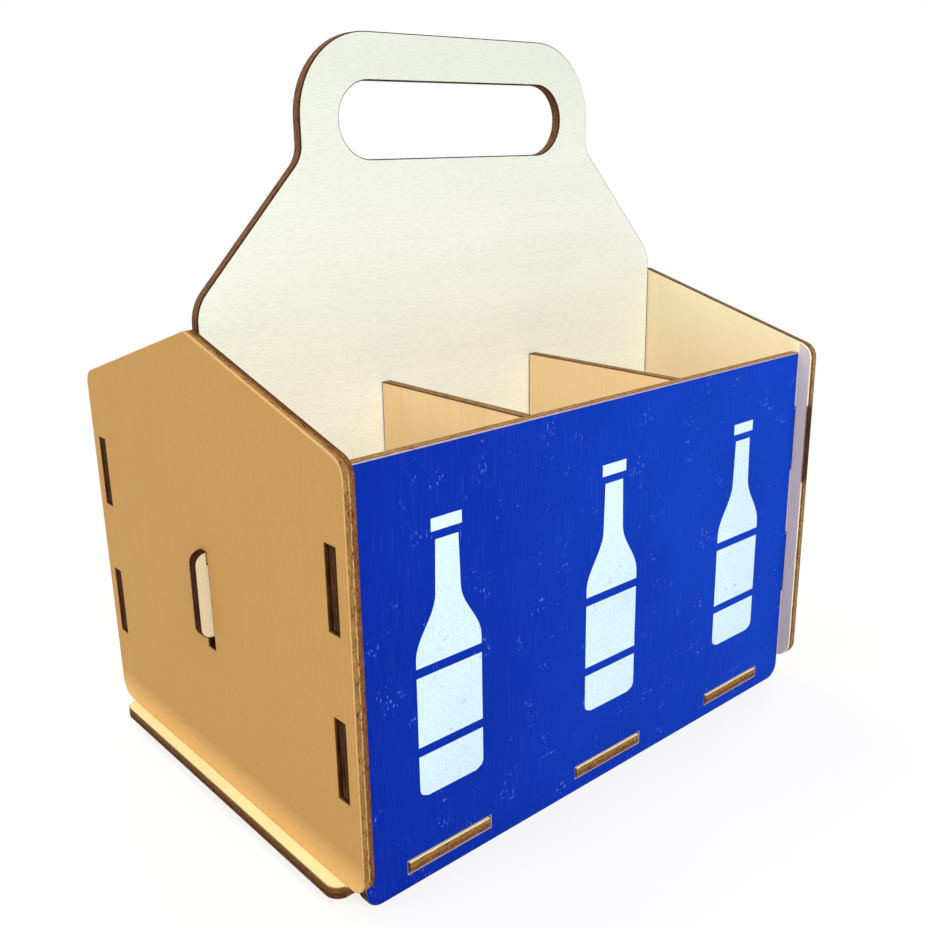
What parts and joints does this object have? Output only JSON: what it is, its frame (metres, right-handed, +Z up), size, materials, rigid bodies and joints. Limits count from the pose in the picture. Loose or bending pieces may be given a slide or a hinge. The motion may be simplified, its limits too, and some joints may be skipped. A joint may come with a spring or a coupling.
{
  "type": "bottle caddy",
  "caption": "Open plywood bottle carrier slotted together from flat boards, with gabled ends, cross dividers, a painted front and a tall middle panel that is its handle.",
  "frame": {"origin": "on the ground under the middle of the caddy", "axes": "+X along the caddy, -Y is the painted front, +Z up"},
  "size_m": [0.231, 0.165, 0.2541],
  "materials": {
    "poplar_plywood": "raw sanded face veneer, laser-burnt brown edges",
    "blue_painted_plywood": "matt blue paint on the outer face, raw inner face, laser-burnt brown edges"
  },
  "bodies": {
    "box": {"left_end_panel": "poplar_plywood", "right_end_panel": "poplar_plywood", "front_panel": "blue_painted_plywood", "back_panel": "poplar_plywood", "bottom_plate": "poplar_plywood", "divider_1": "poplar_plywood", "divider_2": "poplar_plywood"},
    "handle": {"handle_panel": "poplar_plywood"}
  },
  "joints": [
    {"name": "handle_lift", "type": "slide", "parent": "box", "child": "handle", "axis": [0, 0, 1], "range_m": [-0.0045, 0]}
  ]
}
